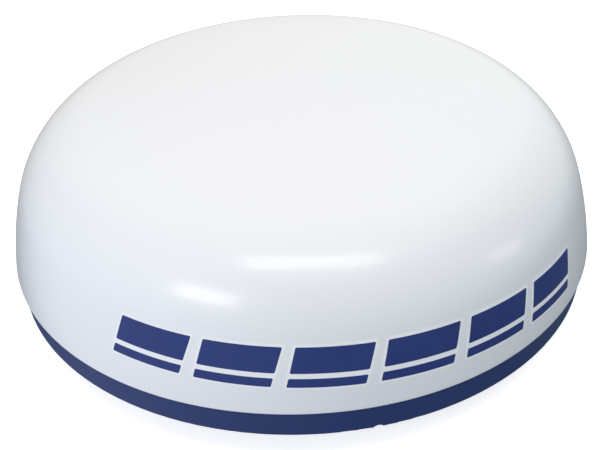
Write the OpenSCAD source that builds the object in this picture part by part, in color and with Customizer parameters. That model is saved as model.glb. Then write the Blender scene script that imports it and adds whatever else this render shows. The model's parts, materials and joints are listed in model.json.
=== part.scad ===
// Radar dome antenna for the mast or roof of a boat: a moulded base pan, a lift-off cover,
// and inside them a turning array antenna with its drive, transmitter and electronics.
// The origin is the middle of the mounting face. +Z is up and the bow side faces -Y.

/* [Cover] */
// Diameter of the cover where it meets the base.
dome_d = 620; // [612:2:640]
// Height of the joint between cover and base above the mounting face.
seam_z = 68; // [68:1:72]
// Wall thickness of the cover.
cover_t = 4; // [3:0.5:5]
// Inward lean of the side wall at the joint, in degrees.
wall_lean = 5.9; // [5:0.1:7]
// Height of the side wall above the joint.
wall_h = 72.6; // [70:0.2:76]
// Radius of the arc that the side wall follows.
wall_r = 387.5; // [380:2.5:400]
// Radius of the shoulder between side wall and crown.
shoulder_r = 111; // [106:1:114]
// Radius of the crown.
crown_r = 930; // [900:10:1000]

/* [Base] */
// Gap between the lower edge of the cover and the base.
seam_gap = 1.2; // [0.8:0.1:2]
// Height of the band below the joint.
band_h = 29.5; // [28:0.5:32]
// Step from the cover's edge in to the band.
band_inset = 2; // [1.5:0.5:5]
// Distance that the band leans in from its upper to its lower edge.
band_lean_in = 3; // [1:0.5:4]
// Wall thickness of the base pan.
pan_t = 5; // [4:0.5:6]
// Radius of the flat floor.
floor_r = 232; // [228:1:236]

/* [Mounting] */
// Spacing of the mounting holes across the boat.
mount_x = 230; // [220:5:240]
// Spacing of the mounting holes along the boat.
mount_y = 160; // [150:5:170]
// Thread core radius of the mounting inserts (M8).
mount_hole_r = 3.4; // [3.3:0.1:3.5]

/* [Antenna] */
// Length of the array.
array_l = 510; // [490:5:514]
// Height of the array.
array_h = 72; // [66:1:74]
// Depth of the array's channel.
array_d = 30; // [28:1:32]
// Printed patches in each row of the array.
patch_count = 20; // [16:2:24]

/* [Drive] */
// Tooth size: pitch diameter divided by tooth count.
gear_module = 2; // [2:2]
// Teeth on the antenna's gear.
gear_teeth = 72; // [72:72]
// Teeth on the motor's pinion.
pinion_teeth = 18; // [18:18]
// Metal taken off each tooth flank so that the gears run freely.
flank_relief = 0.12; // [0.1:0.01:0.16]

/* [Decal] */
// Blocks in the bow decal.
decal_blocks = 6; // [4:1:7]
// Height of the decal.
decal_h = 38; // [30:1:42]
// Lean of the ends of each block.
decal_slant = 9; // [0:1:12]
// Fall of the whole decal towards +X, in degrees.
decal_fall = 1.4; // [0:0.1:2]

/* [Hidden] */
// Arcs of the dome, each tangent to the next.
seam_r = dome_d / 2;
wall_cr = seam_r - wall_r * cos(wall_lean);
wall_cz = seam_z - wall_r * sin(wall_lean);
shoulder_a = asin(wall_h / wall_r + sin(wall_lean));
shoulder_cr = wall_cr + (wall_r - shoulder_r) * cos(shoulder_a);
shoulder_cz = wall_cz + (wall_r - shoulder_r) * sin(shoulder_a);
crown_a = acos(shoulder_cr / (crown_r - shoulder_r));
crown_cz = shoulder_cz - (crown_r - shoulder_r) * sin(crown_a);
crown_top = crown_cz + crown_r;
sector_reach = 2 * seam_r;
fine = 180;
round_fn = 48;

// Base pan.
rim_z = seam_z - seam_gap;
band_top_r = seam_r - band_inset;
band_low_r = band_top_r - band_lean_in;
band_low_z = seam_z - band_h;
pan_floor_z = 8;
floor_top_z = 14;
flange_z = 57;
flange_in_r = seam_r - 31;
corner_r = 3;
pan_slope = atan((band_low_z - pan_floor_z) / (band_low_r - floor_r));
pad_r = 20;
insert_r = 6.5;
insert_top_z = 18;
insert_gap = 0.3;
mount_boss_r = 12;

// Cover joint: tongue, groove, gasket and four captive bolts.
groove_in_r = seam_r - 13.4;
groove_out_r = seam_r - 8.6;
groove_z = rim_z - 6;
gasket_h = 2.8;
tongue_gap = 0.3;
bolt_ring_r = seam_r - 24;
bolt_r = 3;
bolt_tip_z = seam_z + 14;
bolt_seat_z = 54;
bolt_pocket_r = 8.5;
bolt_head_h = 4;
washer_t = 1.4;
washer_r = 7;
cover_boss_r = 9;
cover_boss_top = seam_z + 24;
cover_insert_r = 4.4;
cover_insert_h = 12;
thread_fit = 0.05;
bolt_angles = [0, 90, 180, 270];
rim_ring_h = 6;
scallop_r = 6;
pry_slot_w = 10;
pry_slot_h = 2.5;

// Socket bay in the underside, aft.
bay_x = 32;
bay_y0 = 230;
bay_y1 = 288;
bay_roof_z = 50;
bay_t = 4;
socket_y = 260;
socket_x = 15;
socket_r = 11;
socket_bore_r = 8;
socket_depth = 9;
socket_low_z = 34;
contact_well_r = 7.2;
contact_well_h = 5;
contact_h = 9;
socket_nut_h = 5;

// Chassis.
chassis_r = 205;
chassis_z = 21;
chassis_t = 4;
deck_z = chassis_z + chassis_t;
chassis_ring_r = 185;
chassis_boss_r = 9;
m5_r = 2.5;
m5_l = 12;
m4_r = 2;
m4_l = 8;
m3_r = 1.5;
m3_l = 8;

// Bearings and shaft.
shaft_r = 12.5;
bearing_r = 26;
bearing_w = 15;
bearing_z = [36, 62];
housing_r = 34;
housing_top_z = 79;
housing_flange_r = 48;
housing_flange_t = 6;
housing_ring_r = 41;
ball_r = 4;
ball_ring_r = (shaft_r + bearing_r) / 2;
ball_fit = 0.05;
ball_count = 9;
hub_bore_r = 7;
hub_flange_r = 34;
hub_flange_z = 80;
probe_r = 5;

// Gears.
pressure_a = 20;
gear_z = 84;
gear_t = 10;
pinion_z = 82;
pinion_t = 14;
gear_pitch_r = gear_module * gear_teeth / 2;
pinion_pitch_r = gear_module * pinion_teeth / 2;
motor_y = -(gear_pitch_r + pinion_pitch_r);
flank_steps = 4;
foot_top_z = 98;
gear_screw_r = 22;
gear_screw_angles = [25, 155, 205, 335];

// Motor.
motor_r = 21;
motor_low_z = 32;
bracket_z = 76;
bracket_t = 3;
motor_shaft_r = 3;
motor_screw_xy = 12;
bracket_half_x = 30;
bracket_half_y = 20;
bracket_foot = 12;

// Array.
array_z = 106;
channel_t = 2;
array_back_y = array_d / 2;
board_t = 1.6;
board_y = -array_d / 2 + 3;
patch_t = 0.3;
end_cap_t = 3;
upright_t = 3;
upright_top_z = 154;
bracket_screw_z = [116, 144];
bracket_screw_x = 21;
upright_x = 30;
heel_y = 34;
feed_z = 128;

// Electronics.
board_z = 37;
board_top_z = board_z + board_t;
// Each board: centre x, centre y, size x, size y.
boards = [[-132, 0, 112, 116], [0, 130, 168, 68], [0, -146, 160, 58]];
board_hole_inset = 6;
// What stands on the modulator board.
transformer_xy = [-102, 22];
transformer_half = [20, 18];
transformer_h = 30;
heatsink_x = -172;
heatsink_half = [10, 34];
heatsink_h = 30;
heatsink_fins = 7;
fin_pitch = 11;
fin_t = 2;
hv_cap_r = 8.5;
hv_cap_h = 26;
// What stands on the power board.
power_cap_r = 7.5;
power_cap_h = 24;
inductor_x = [42, 70];
inductor_ring_r = 8;
inductor_wire_r = 4.6;
// What stands on the processor board.
shield_x = -28;
shield_half = [26, 20];
shield_h = 8;
shield_t = 0.7;
// Radio head: circulator, waveguide, magnetron and receiver.
feed_x = 70;
circ_x0 = 58;
circ_x1 = 96;
mag_x = 150;
mag_z = 60;
link_x1 = mag_x - 17;
rx_from = [62, 24];
rx_to = [112, 84];

// Heading sensor and the flag that passes through it.
flag_r = 54;
flag_a = 30;
flag_low_z = 77;
sensor_a = 150;

// Breather in the floor.
vent_x = 60;
vent_y = -150;
vent_r = 6;

// Decal.
decal_pitch_a = 15.7;
decal_block_w = 70;
decal_mid_z = seam_z + 46;
film_t = 0.15;
film_margin = 2.5;
decal_step_z = seam_r * sin(decal_pitch_a) * tan(decal_fall);

// ---------------------------------------------------------------- shared shapes

// A point at distance d and angle a from the centre of the shoulder arc.
function from_shoulder(a, d) = [shoulder_cr + d * cos(a), shoulder_cz + d * sin(a)];

// Half section of the dome above height z0, inset from its outer surface.
module dome_half(inset, z0) {
    intersection() {
        translate([wall_cr, wall_cz])
            circle(r = wall_r - inset, $fn = fine);
        polygon([
            [0, z0], [sector_reach, z0], from_shoulder(shoulder_a, sector_reach),
            [shoulder_cr, shoulder_cz], [0, shoulder_cz]
        ]);
    }
    intersection() {
        translate([shoulder_cr, shoulder_cz])
            circle(r = shoulder_r - inset, $fn = fine);
        polygon([
            [shoulder_cr, shoulder_cz], from_shoulder(shoulder_a, 2 * shoulder_r),
            from_shoulder(crown_a, 2 * shoulder_r)
        ]);
    }
    intersection() {
        translate([0, crown_cz])
            circle(r = crown_r - inset, $fn = 2 * fine);
        polygon([
            [0, shoulder_cz], [shoulder_cr, shoulder_cz],
            from_shoulder(crown_a, 2 * shoulder_r), [0, crown_top + shoulder_r]
        ]);
    }
}

module dome_solid(inset, z0) {
    rotate_extrude($fn = fine)
        dome_half(inset, z0);
}

module tube(r_out, r_in, z0, z1) {
    difference() {
        translate([0, 0, z0])
            cylinder(r = r_out, h = z1 - z0, $fn = round_fn);
        translate([0, 0, z0 - 1])
            cylinder(r = r_in, h = z1 - z0 + 2, $fn = round_fn);
    }
}

module rod(r, z0, z1) {
    translate([0, 0, z0])
        cylinder(r = r, h = z1 - z0, $fn = round_fn);
}

// A box given by its two opposite corners.
module block(from, to) {
    translate(from)
        cube(to - from);
}

module around(radius, angles) {
    for (a = angles)
        rotate([0, 0, a])
            translate([radius, 0, 0])
                children();
}

module at_corners(x, y) {
    for (sx = [-1, 1])
        for (sy = [-1, 1])
            translate([sx * x, sy * y, 0])
                children();
}

// A socket head screw whose head rests on z = 0 with the shank below.
module cap_screw(r, shank) {
    head_h = 1.6 * r;
    difference() {
        union() {
            cylinder(r = 1.7 * r, h = head_h, $fn = round_fn);
            translate([0, 0, -shank])
                cylinder(r = r, h = shank + 0.1, $fn = round_fn);
        }
        translate([0, 0, head_h / 2])
            cylinder(r = 0.95 * r, h = head_h, $fn = 6);
    }
}

// Round wire and tube runs are drawn in a plane with u across and v up.
module leg(from, to, r) {
    run = to - from;
    translate([from[0], from[1], 0])
        rotate([0, 0, atan2(run[1], run[0])])
            rotate([0, 90, 0])
                cylinder(r = r, h = norm(run), $fn = 24);
}

// A quarter bend about centre, from angle a to a + 90.
module elbow(centre, a, bend_r, r) {
    translate([centre[0], centre[1], 0])
        rotate([0, 0, a])
            rotate_extrude(angle = 90, $fn = round_fn)
                translate([bend_r, 0])
                    circle(r = r, $fn = 24);
}

// Stands the wire plane up so that u runs along Y and v along Z.
module along_y() {
    rotate([90, 0, 90])
        children();
}

// Stands the wire plane up so that u runs along X and v along Z.
module along_x() {
    rotate([90, 0, 0])
        children();
}

// ---------------------------------------------------------------- base body

// Half section of the pan's outside, with a rounded lower corner on the band.
module pan_half() {
    corner = [band_low_r, band_low_z];
    rise = [band_top_r, rim_z] - corner;
    up = rise / norm(rise);
    inward = [-cos(pan_slope), -sin(pan_slope)];
    centre = corner + (up + inward) / norm(up + inward) * corner_r / sin(acos(up * inward) / 2);
    polygon([
        [0, pan_floor_z], [floor_r, pan_floor_z],
        corner + inward * ((centre - corner) * inward), centre,
        corner + up * ((centre - corner) * up), [band_top_r, rim_z], [0, rim_z]
    ]);
    translate(centre)
        circle(r = corner_r, $fn = round_fn);
}

module pan_solid() {
    rotate_extrude($fn = fine)
        pan_half();
}

module pan_cavity_half() {
    lift = pan_t / cos(pan_slope);
    inner_r = band_low_r - pan_t;
    slope_z = floor_top_z + (inner_r - floor_r) * tan(pan_slope) + lift - pan_t;
    polygon([
        [0, floor_top_z], [floor_r - 4, floor_top_z], [inner_r, slope_z],
        [band_top_r - pan_t, flange_z], [flange_in_r, flange_z],
        [flange_in_r, rim_z + 1], [0, rim_z + 1]
    ]);
}

module mount_places() {
    at_corners(mount_x / 2, mount_y / 2)
        children();
}

module radome_base() {
    color([0.12, 0.19, 0.42])
    difference() {
        union() {
            difference() {
                pan_solid();
                rotate_extrude($fn = fine)
                    pan_cavity_half();
            }
            mount_places() {
                rod(pad_r, 0, pan_floor_z + 1);
                rod(mount_boss_r, floor_top_z - 1, insert_top_z + 2);
            }
            around(chassis_ring_r, [30 : 60 : 330])
                rod(chassis_boss_r, floor_top_z - 1, chassis_z);
            intersection() {
                union() {
                    around(bolt_ring_r, bolt_angles)
                        rod(bolt_pocket_r + 4, 0, flange_z + 1);
                    block([-bay_x - bay_t, bay_y0 - bay_t, 0],
                          [bay_x + bay_t, bay_y1 + bay_t, bay_roof_z + bay_t]);
                }
                pan_solid();
            }
            rod(22, floor_top_z - 1, 16);
        }
        rotate_extrude($fn = fine)
            translate([groove_in_r, groove_z])
                square([groove_out_r - groove_in_r, rim_z]);
        mount_places()
            rod(insert_r, -1, insert_top_z);
        around(chassis_ring_r, [30 : 60 : 330])
            rod(m5_r, 11, chassis_z + 1);
        around(bolt_ring_r, bolt_angles) {
            rod(bolt_pocket_r, 0, bolt_seat_z);
            rod(bolt_r + 0.3, bolt_seat_z - 1, rim_z + 1);
            translate([0, 0, band_low_z - scallop_r / 2])
                rotate([0, 90, 0])
                    cylinder(r = scallop_r, h = seam_r - bolt_ring_r, $fn = round_fn);
        }
        block([-bay_x, bay_y0, 0], [bay_x, bay_y1, bay_roof_z]);
        for (s = [-1, 1]) {
            translate([s * socket_x, socket_y, 0])
                rod(socket_r - 1.8, bay_roof_z - 1, bay_roof_z + bay_t + 1);
            block([s > 0 ? groove_out_r + 1 : -seam_r, -pry_slot_w / 2, rim_z - pry_slot_h],
                  [s > 0 ? seam_r : -groove_out_r - 1, pry_slot_w / 2, rim_z + 1]);
        }
        translate([vent_x, vent_y, 0])
            rod(vent_r, 0, floor_top_z + 1);
    }
}

module rim_gasket() {
    color([0.09, 0.09, 0.1])
    rotate_extrude($fn = fine)
        translate([groove_in_r + 0.4, groove_z])
            square([groove_out_r - groove_in_r - 0.8, gasket_h]);
}

module mounting_inserts() {
    color([0.78, 0.62, 0.32])
    mount_places()
        difference() {
            rod(insert_r, insert_gap, insert_top_z);
            rod(mount_hole_r, -1, insert_top_z - 2);
        }
}

module cover_bolts() {
    color([0.72, 0.73, 0.75])
    around(bolt_ring_r, bolt_angles)
        difference() {
            union() {
                rod(bolt_r, bolt_seat_z - washer_t - 0.1, bolt_tip_z);
                translate([0, 0, bolt_seat_z - washer_t - bolt_head_h])
                    cylinder(r = 5.8, h = bolt_head_h, $fn = 6);
            }
            translate([0, 0, bolt_seat_z - washer_t - bolt_head_h - 1])
                cylinder(r = 2.6, h = 3, $fn = 6);
        }
}

module bolt_washers() {
    color([0.8, 0.81, 0.82])
    around(bolt_ring_r, bolt_angles)
        tube(washer_r, bolt_r + 0.2, bolt_seat_z - washer_t, bolt_seat_z);
}

// Bulkhead socket that hangs from the bay roof and opens downwards. The plug's spigot stops
// at the mouth of the narrower well that the contacts stand in.
module bulkhead_socket() {
    well_z = socket_low_z + socket_depth;
    difference() {
        union() {
            rod(socket_r, socket_low_z, bay_roof_z);
            rod(socket_r - 2, bay_roof_z - 1, bay_roof_z + bay_t + socket_nut_h + 3);
        }
        rod(socket_bore_r, socket_low_z - 1, well_z);
        rod(contact_well_r, well_z - 1, well_z + contact_well_h);
        contact_places()
            rod(1, well_z, well_z + contact_h);
    }
}

module contact_places() {
    around(4.2, [0 : 60 : 300])
        children();
}

module inlet_sockets() {
    color([0.1, 0.1, 0.11])
    for (s = [-1, 1])
        translate([s * socket_x, socket_y, 0])
            bulkhead_socket();
}

module socket_contacts() {
    well_z = socket_low_z + socket_depth;
    color([0.83, 0.68, 0.36])
    for (s = [-1, 1])
        translate([s * socket_x, socket_y, 0])
            contact_places()
                rod(1, well_z + 0.6, well_z + contact_h);
}

module socket_nuts() {
    color([0.75, 0.76, 0.78])
    for (s = [-1, 1])
        translate([s * socket_x, socket_y, bay_roof_z + bay_t])
            difference() {
                cylinder(r = 13, h = socket_nut_h, $fn = 6);
                translate([0, 0, -1])
                    cylinder(r = socket_r - 2, h = socket_nut_h + 2, $fn = round_fn);
            }
}

// The two leads arch from the sockets forward to the power board.
module inlet_leads() {
    start_z = bay_roof_z + bay_t + socket_nut_h + 3;
    top_z = start_z + 20;
    end_y = boards[1][1] + boards[1][3] / 2 - 9;
    r = 2.8;
    b = 14;
    color([0.12, 0.12, 0.13])
    for (s = [-1, 1])
        translate([s * socket_x, 0, 0])
            along_y() {
                leg([socket_y, start_z], [socket_y, top_z - b], r);
                elbow([socket_y - b, top_z - b], 0, b, r);
                leg([socket_y - b, top_z], [end_y + b, top_z], r);
                elbow([end_y + b, top_z - b], 90, b, r);
                leg([end_y, top_z - b], [end_y, board_top_z + 9], r);
            }
}

module breather_vent() {
    color([0.2, 0.2, 0.22])
    translate([vent_x, vent_y, 0])
        difference() {
            union() {
                rod(11, pan_floor_z - 3, pan_floor_z);
                rod(vent_r, pan_floor_z - 1, floor_top_z + 5);
            }
            rod(2.5, pan_floor_z - 2, floor_top_z + 6);
            around(8.5, [0 : 45 : 315])
                rod(0.9, pan_floor_z - 4, pan_floor_z - 1);
        }
}

module board_hole_places(b) {
    translate([b[0], b[1], 0])
        at_corners(b[2] / 2 - board_hole_inset, b[3] / 2 - board_hole_inset)
            children();
}

module chassis_plate() {
    color([0.68, 0.7, 0.72])
    difference() {
        rod(chassis_r, chassis_z, deck_z);
        rod(30, chassis_z - 1, deck_z + 1);
        around(chassis_ring_r, [30 : 60 : 330])
            rod(m5_r + 0.3, chassis_z - 1, deck_z + 1);
        around(housing_ring_r, [45 : 90 : 315])
            rod(m5_r, chassis_z - 1, deck_z + 1);
        translate([feed_x, 0, 0])
            rod(5, chassis_z - 1, deck_z + 1);
        // Lightening slots between the fixings.
        for (a = [60, 120, 240, 300])
            around(172, [a])
                block([-6, -18, chassis_z - 1], [6, 18, deck_z + 1]);
    }
}

module m5_screws() {
    color([0.74, 0.75, 0.77]) {
        around(chassis_ring_r, [30 : 60 : 330])
            translate([0, 0, deck_z])
                cap_screw(m5_r, m5_l);
        around(housing_ring_r, [45 : 90 : 315])
            translate([0, 0, deck_z + housing_flange_t])
                cap_screw(m5_r, m5_l);
    }
}

module bearing_housing() {
    color([0.62, 0.64, 0.66])
    difference() {
        union() {
            rod(housing_r, deck_z, housing_top_z);
            rod(housing_flange_r, deck_z, deck_z + housing_flange_t);
            for (a = [0 : 90 : 270])
                rotate([0, 0, a])
                    rotate([90, 0, 0])
                        translate([0, 0, -2])
                            linear_extrude(4)
                                polygon([[housing_r - 2, deck_z + 4], [housing_flange_r - 2, deck_z + 4],
                                         [housing_r - 2, deck_z + 34]]);
        }
        rod(bearing_r - 4, deck_z - 1, housing_top_z + 1);
        rod(bearing_r, deck_z - 1, bearing_z[0] + bearing_w);
        rod(bearing_r, bearing_z[1], housing_top_z + 1);
        around(housing_ring_r, [45 : 90 : 315])
            rod(m5_r + 0.3, deck_z - 1, deck_z + housing_flange_t + 1);
    }
}

module bearing_retainers() {
    color([0.5, 0.51, 0.53])
    {
        tube(bearing_r, 20, bearing_z[0] - 3, bearing_z[0]);
        tube(bearing_r, 20, bearing_z[1] + bearing_w, housing_top_z - 0.2);
    }
}

// The ring of space that the balls of one bearing run in.
module ball_track(z0) {
    rotate_extrude($fn = fine)
        translate([ball_ring_r, z0 + bearing_w / 2])
            circle(r = ball_r + ball_fit, $fn = round_fn);
}

module outer_race(z0) {
    difference() {
        tube(bearing_r, ball_ring_r + 2.6, z0, z0 + bearing_w);
        ball_track(z0);
    }
}

module inner_race(z0) {
    difference() {
        tube(ball_ring_r - 2.6, shaft_r, z0, z0 + bearing_w);
        ball_track(z0);
    }
}

module bearing_outer_rings() {
    color([0.8, 0.81, 0.83])
    for (z0 = bearing_z)
        outer_race(z0);
}

module rotary_joint_stator() {
    color([0.82, 0.72, 0.45])
    difference() {
        union() {
            rod(18, 16, 20);
            rod(probe_r, 19, 88);
        }
        rod(2.4, 30, 89);
    }
}

// The line under the chassis from the rotary joint to the circulator.
module feed_line() {
    r = 1.8;
    b = 7;
    color([0.76, 0.6, 0.36])
    along_x() {
        leg([18, 18], [feed_x - b, 18], r);
        elbow([feed_x - b, 18 + b], -90, b, r);
        leg([feed_x, 18 + b], [feed_x, 30], r);
    }
}

module drive_motor() {
    color([0.25, 0.26, 0.28])
    translate([0, motor_y, 0])
        difference() {
            union() {
                rod(motor_r, motor_low_z, bracket_z);
                rod(motor_r + 0.8, motor_low_z + 4, motor_low_z + 10);
                rod(motor_r + 0.8, bracket_z - 8, bracket_z - 3);
                rod(9, motor_low_z - 4, motor_low_z + 1);
            }
            rod(motor_shaft_r + thread_fit, bracket_z - 24, bracket_z + 1);
            at_corners(motor_screw_xy, motor_screw_xy)
                rod(m3_r, bracket_z - 7, bracket_z + 1);
        }
}

module motor_bracket() {
    color([0.7, 0.72, 0.74])
    translate([0, motor_y, 0])
        difference() {
            union() {
                block([-bracket_half_x, -bracket_half_y, bracket_z],
                      [bracket_half_x, bracket_half_y, bracket_z + bracket_t]);
                for (s = [-1, 1])
                    scale([s, 1, 1]) {
                        block([bracket_half_x - bracket_t, -bracket_half_y, deck_z],
                              [bracket_half_x, bracket_half_y, bracket_z + bracket_t]);
                        block([bracket_half_x - bracket_t, -bracket_half_y, deck_z],
                              [bracket_half_x + bracket_foot, bracket_half_y, deck_z + bracket_t]);
                    }
            }
            rod(8, bracket_z - 1, bracket_z + bracket_t + 1);
            at_corners(motor_screw_xy, motor_screw_xy)
                rod(m3_r + 0.2, bracket_z - 1, bracket_z + bracket_t + 1);
            at_corners(bracket_half_x + bracket_foot / 2 + 1, 0)
                rod(m4_r, deck_z - 1, deck_z + bracket_t + 1);
            for (s = [-1, 1])
                translate([s * bracket_half_x, 0, 50])
                    rotate([0, 90, 0])
                        cylinder(r = 10, h = 12, center = true, $fn = round_fn);
        }
}

module magnetron() {
    color([0.72, 0.48, 0.32])
    translate([mag_x, 0, 0])
        difference() {
            union() {
                rod(13, 40, 80);
                for (i = [0 : 6])
                    rod(16, 44 + i * 5, 45.2 + i * 5);
                block([-17, -14, mag_z - 8], [0, 14, mag_z + 8]);
            }
            block([-20, -10, mag_z - 5], [-14, 10, mag_z + 5]);
        }
}

module magnetron_magnets() {
    color([0.22, 0.22, 0.24])
    translate([mag_x, 0, 0]) {
        rod(16, 30, 40);
        rod(16, 80, 90);
    }
}

module magnetron_yoke() {
    color([0.45, 0.47, 0.5])
    translate([mag_x, 0, 0]) {
        block([-20, -18, deck_z], [25, 18, 30]);
        block([20, -18, deck_z], [25, 18, 95]);
        block([-20, -18, 90], [25, 18, 95]);
    }
}

module waveguide_link() {
    color([0.76, 0.6, 0.36])
    difference() {
        union() {
            block([circ_x1, -12.7, mag_z - 6.5], [link_x1, 12.7, mag_z + 6.5]);
            block([circ_x1, -17, mag_z - 11], [circ_x1 + 3, 17, mag_z + 11]);
            block([link_x1 - 3, -17, mag_z - 11], [link_x1, 17, mag_z + 11]);
        }
        block([circ_x1 - 1, -11.4, mag_z - 5.1], [link_x1 + 1, 11.4, mag_z + 5.1]);
    }
}

module circulator() {
    color([0.78, 0.79, 0.8])
    difference() {
        union() {
            block([circ_x0, -17, 42], [circ_x1, 17, 76]);
            block([circ_x0 + 4, -12, deck_z], [circ_x1 - 4, 12, 43]);
            translate([(circ_x0 + circ_x1) / 2, 0, 0])
                rod(12, 75, 80);
        }
        block([circ_x1 - 8, -11.4, mag_z - 5.1], [circ_x1 + 1, 11.4, mag_z + 5.1]);
        translate([feed_x, 0, 0])
            rod(1.8, deck_z - 1, 30);
    }
}

module receiver_module() {
    color([0.8, 0.81, 0.82])
    difference() {
        union() {
            block([rx_from[0], rx_from[1], deck_z], [rx_to[0], rx_to[1], 45]);
            block([rx_from[0] + 1.5, rx_from[1] + 1.5, 44], [rx_to[0] - 1.5, rx_to[1] - 1.5, 47.5]);
            for (y = [38, 54, 70])
                translate([rx_to[0], y, 36])
                    rotate([0, 90, 0])
                        cylinder(r = 3.2, h = 9, $fn = 24);
        }
        for (x = [rx_from[0] + 8, rx_to[0] - 8])
            for (y = [rx_from[1] + 8, rx_to[1] - 8])
                translate([x, y, 0])
                    rod(1.6, 45.5, 48);
    }
}

module board(b) {
    difference() {
        block([b[0] - b[2] / 2, b[1] - b[3] / 2, board_z],
              [b[0] + b[2] / 2, b[1] + b[3] / 2, board_top_z]);
        board_hole_places(b)
            rod(m3_r + 0.1, board_z - 1, board_top_z + 1);
    }
}

module modulator_board() {
    color([0.1, 0.32, 0.2])
    board(boards[0]);
}

module pulse_transformer() {
    half = transformer_half;
    yoke = 6;
    limb = 8;
    color([0.3, 0.27, 0.24])
    translate([transformer_xy[0], transformer_xy[1], board_top_z]) {
        for (z = [0, transformer_h - yoke])
            block([-half[0], -half[1], z], [half[0], half[1], z + yoke]);
        for (x = [-half[0], half[0] - limb])
            block([x, -half[1], yoke - 1], [x + limb, half[1], transformer_h - yoke + 1]);
        rod(11, yoke - 1, transformer_h - yoke + 1);
    }
}

module modulator_heatsink() {
    half = heatsink_half;
    color([0.16, 0.16, 0.18])
    translate([heatsink_x, 0, board_top_z]) {
        block([-half[0], -half[1], 0], [half[0], half[1], 4]);
        for (i = [0 : heatsink_fins - 1])
            translate([0, -half[1] + i * fin_pitch, 0])
                block([-half[0], 0, 3], [half[0], fin_t, heatsink_h]);
    }
}

module hv_capacitors() {
    color([0.75, 0.5, 0.18])
    for (i = [0 : 2])
        translate([-146 + i * 22, -36, board_top_z])
            cylinder(r = hv_cap_r, h = hv_cap_h, $fn = round_fn);
}

module power_board() {
    color([0.1, 0.32, 0.2])
    board(boards[1]);
}

module power_capacitors() {
    color([0.13, 0.15, 0.22])
    for (i = [0 : 4])
        translate([-62 + i * 19, 108, board_top_z])
            difference() {
                cylinder(r = power_cap_r, h = power_cap_h, $fn = round_fn);
                for (a = [0, 90])
                    rotate([0, 0, a])
                        translate([-6, -0.4, power_cap_h - 0.6])
                            cube([12, 0.8, 2]);
            }
}

module power_inductors() {
    color([0.66, 0.38, 0.2])
    for (x = inductor_x)
        translate([x, 132, board_top_z + inductor_wire_r + 0.4])
            rotate_extrude($fn = round_fn)
                translate([inductor_ring_r, 0])
                    circle(r = inductor_wire_r, $fn = 24);
}

module processor_board() {
    color([0.08, 0.24, 0.34])
    board(boards[2]);
}

module processor_shield() {
    half = shield_half;
    inner = half - [shield_t, shield_t];
    color([0.78, 0.79, 0.8])
    translate([shield_x, boards[2][1], board_top_z])
        difference() {
            block([-half[0], -half[1], 0], [half[0], half[1], shield_h]);
            block([-inner[0], -inner[1], -1], [inner[0], inner[1], shield_h - shield_t]);
            for (x = [-18 : 9 : 18])
                for (y = [-12, 0, 12])
                    translate([x, y, 0])
                        rod(1.3, shield_h - 2, shield_h + 1);
        }
}

module processor_chips() {
    color([0.07, 0.07, 0.08])
    translate([0, boards[2][1], board_top_z]) {
        block([10, -8, 0], [28, 10, 2.4]);
        for (y = [-12, 2])
            block([36, y, 0], [50, y + 9, 1.8]);
        for (x = [10, 24])
            block([x, -20, 0], [x + 9, -13, 1.6]);
        block([56, 0, 0], [66, 10, 3]);
    }
}

module board_connectors() {
    color([0.9, 0.89, 0.84])
    {
        for (s = [-1, 1])
            translate([s * socket_x, boards[1][1] + boards[1][3] / 2 - 9, board_top_z])
                block([-9, -5, 0], [9, 5, 9]);
        for (x = [-70, -40])
            translate([x, 146, board_top_z])
                block([-8, -4, 0], [8, 4, 8]);
        for (x = [-63, 61])
            translate([x, -127, board_top_z])
                block([-7, -4, 0], [7, 4, 8]);
        translate([-132, 45, board_top_z])
            block([-12, -4, 0], [12, 4, 9]);
    }
}

module board_standoffs() {
    color([0.8, 0.68, 0.4])
    for (b = boards)
        board_hole_places(b)
            difference() {
                translate([0, 0, deck_z])
                    cylinder(r = 3.2, h = board_z - deck_z, $fn = 6);
                rod(m3_r, board_z - 8, board_z + 1);
            }
}

module m3_screws() {
    color([0.76, 0.77, 0.79]) {
        for (b = boards)
            board_hole_places(b)
                translate([0, 0, board_top_z])
                    cap_screw(m3_r, m3_l);
        translate([0, motor_y, bracket_z + bracket_t])
            at_corners(motor_screw_xy, motor_screw_xy)
                cap_screw(m3_r, m3_l);
    }
}

// Fork sensor on its post: the flag under the gear passes through the fork once a turn.
module heading_sensor() {
    color([0.12, 0.12, 0.14])
    rotate([0, 0, sensor_a]) {
        block([flag_r + 2.5, -5, deck_z], [flag_r + 8, 5, 81]);
        block([flag_r - 8, -5, 71], [flag_r + 8, 5, 75]);
        block([flag_r - 8, -5, 71], [flag_r - 3, 5, 81]);
        block([flag_r + 2.5, -9, deck_z], [flag_r + 16, 9, deck_z + 3]);
    }
}

// ---------------------------------------------------------------- turning antenna

module gear_screw_holes(r, z0, z1) {
    around(gear_screw_r, gear_screw_angles)
        rod(r, z0, z1);
}

module antenna_hub() {
    color([0.74, 0.75, 0.77])
    difference() {
        union() {
            rod(shaft_r, 26, gear_z);
            rod(15, bearing_z[1] + bearing_w, gear_z);
            rod(15, bearing_z[0] + bearing_w, bearing_z[1]);
            rod(hub_flange_r, hub_flange_z, gear_z);
        }
        rod(hub_bore_r, 25, gear_z + 1);
        gear_screw_holes(m5_r, hub_flange_z - 1, gear_z + 1);
    }
}

module hub_nut() {
    color([0.6, 0.61, 0.63])
    difference() {
        translate([0, 0, 27])
            cylinder(r = 19, h = bearing_z[0] - 27, $fn = 6);
        rod(shaft_r, 26, bearing_z[0] + 1);
    }
}

module bearing_inner_rings() {
    color([0.8, 0.81, 0.83])
    for (z0 = bearing_z)
        inner_race(z0);
}

function involute_deg(a) = tan(a) * 180 / PI - a;

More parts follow.
